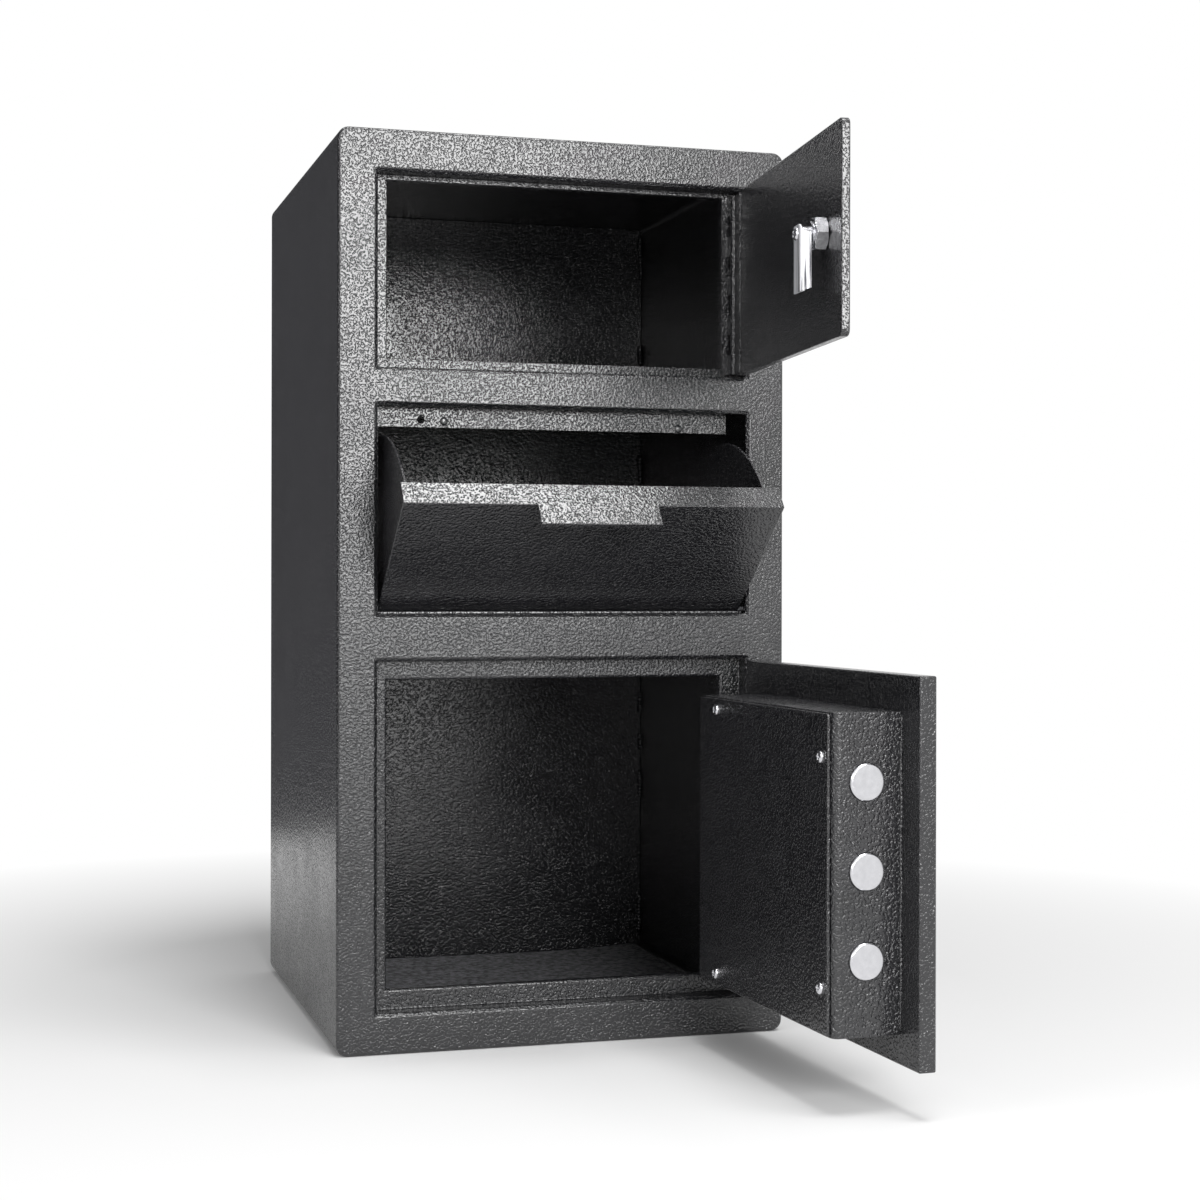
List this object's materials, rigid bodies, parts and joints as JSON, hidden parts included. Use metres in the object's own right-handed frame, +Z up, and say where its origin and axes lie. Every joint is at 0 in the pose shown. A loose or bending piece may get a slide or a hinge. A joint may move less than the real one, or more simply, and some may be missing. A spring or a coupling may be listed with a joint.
{
  "type": "drop safe with deposit drawer",
  "caption": "Upright drop safe with a keyed locker above, a tilting deposit hopper in the middle and a bolted vault door below, drawn open.",
  "frame": {"origin": "centre of the base, on the underside of the body", "axes": "+X to the right as seen from the front, +Y to the back, +Z up; the front face is at Y = -0.184 m"},
  "size_m": [0.3712, 0.6625, 0.7],
  "materials": {
    "powder_coat": "black hammered powder coat, semi-gloss",
    "mat_felt": "grey needle felt",
    "plain_steel": "zinc plated",
    "bright_chrome": "polished",
    "black_plastic": "moulded, fine texture",
    "pad_rubber": "matt silicone"
  },
  "bodies": {
    "safe_body": {"body_shell": "powder_coat", "back_panel": "powder_coat", "front_frame": "powder_coat", "vault_stop_frame": "powder_coat", "locker_stop_frame": "powder_coat", "locker_shelf": "powder_coat", "floor_mat": "mat_felt", "hopper_header": "powder_coat", "header_rivets": "plain_steel", "hopper_sill": "powder_coat", "hopper_brackets": "powder_coat", "hopper_rod": "plain_steel", "rod_clips": "plain_steel", "locker_hinge_frame_leaf": "powder_coat", "locker_hinge_screws": "plain_steel", "locker_hinge_pin": "plain_steel", "vault_hinge_ears": "powder_coat", "vault_hinge_pins": "plain_steel"},
    "locker_door": {"locker_door": "powder_coat", "locker_hinge_door_leaf": "powder_coat", "lock_barrel": "bright_chrome", "lock_nut": "bright_chrome"},
    "locker_lock": {"lock_plug": "bright_chrome", "lock_cam": "bright_chrome", "lock_cam_screw": "bright_chrome"},
    "hopper": {"hopper_front": "powder_coat", "hopper_tray": "powder_coat", "hopper_side_left": "powder_coat", "hopper_side_right": "powder_coat"},
    "vault_door": {"vault_door": "powder_coat", "vault_hinge_lugs": "powder_coat", "bolt_box": "powder_coat", "bolt_box_cover": "powder_coat", "cover_posts": "plain_steel", "cover_screws": "bright_chrome", "bolt_guide": "plain_steel", "lock_solenoid": "black_plastic", "keypad_housing": "black_plastic", "keypad_pads": "pad_rubber"},
    "bolt_work": {"vault_bolt_top": "bright_chrome", "vault_bolt_middle": "bright_chrome", "vault_bolt_bottom": "bright_chrome", "bolt_carrier": "plain_steel"},
    "knob": {"door_knob": "bright_chrome", "knob_spindle": "plain_steel", "drive_crank": "plain_steel"}
  },
  "joints": [
    {"name": "locker_door_hinge", "type": "hinge", "parent": "safe_body", "child": "locker_door", "pos_m": [0.13981, -0.1762, 0.594], "axis": [0, 0, 1], "range_deg": [-84, 11]},
    {"name": "locker_lock_turn", "type": "hinge", "parent": "locker_door", "child": "locker_lock", "pos_m": [0.11485, -0.42325, 0.594], "axis": [-0.9945, 0.1045, 0], "range_deg": [0, 90]},
    {"name": "hopper_tilt", "type": "hinge", "parent": "safe_body", "child": "hopper", "pos_m": [0, -0.1626, 0.3356], "axis": [1, 0, 0], "range_deg": [-52, 0]},
    {"name": "vault_door_hinge", "type": "hinge", "parent": "safe_body", "child": "vault_door", "pos_m": [0.1539, -0.1781, 0.164], "axis": [0, 0, 1], "range_deg": [-92.5, 2.5]},
    {"name": "knob_turn", "type": "hinge", "parent": "vault_door", "child": "knob", "pos_m": [0.16739, -0.35188, 0.164], "axis": [-0.999, -0.0436, 0], "range_deg": [0, 80]},
    {"name": "bolt_slide", "type": "slide", "parent": "vault_door", "child": "bolt_work", "axis": [0.0436, -0.999, 0], "range_m": [0, 0.02314]}
  ],
  "couplings": [
    {"joint": "knob_turn", "follows": "bolt_slide", "rad_per_m": 60.339}
  ]
}
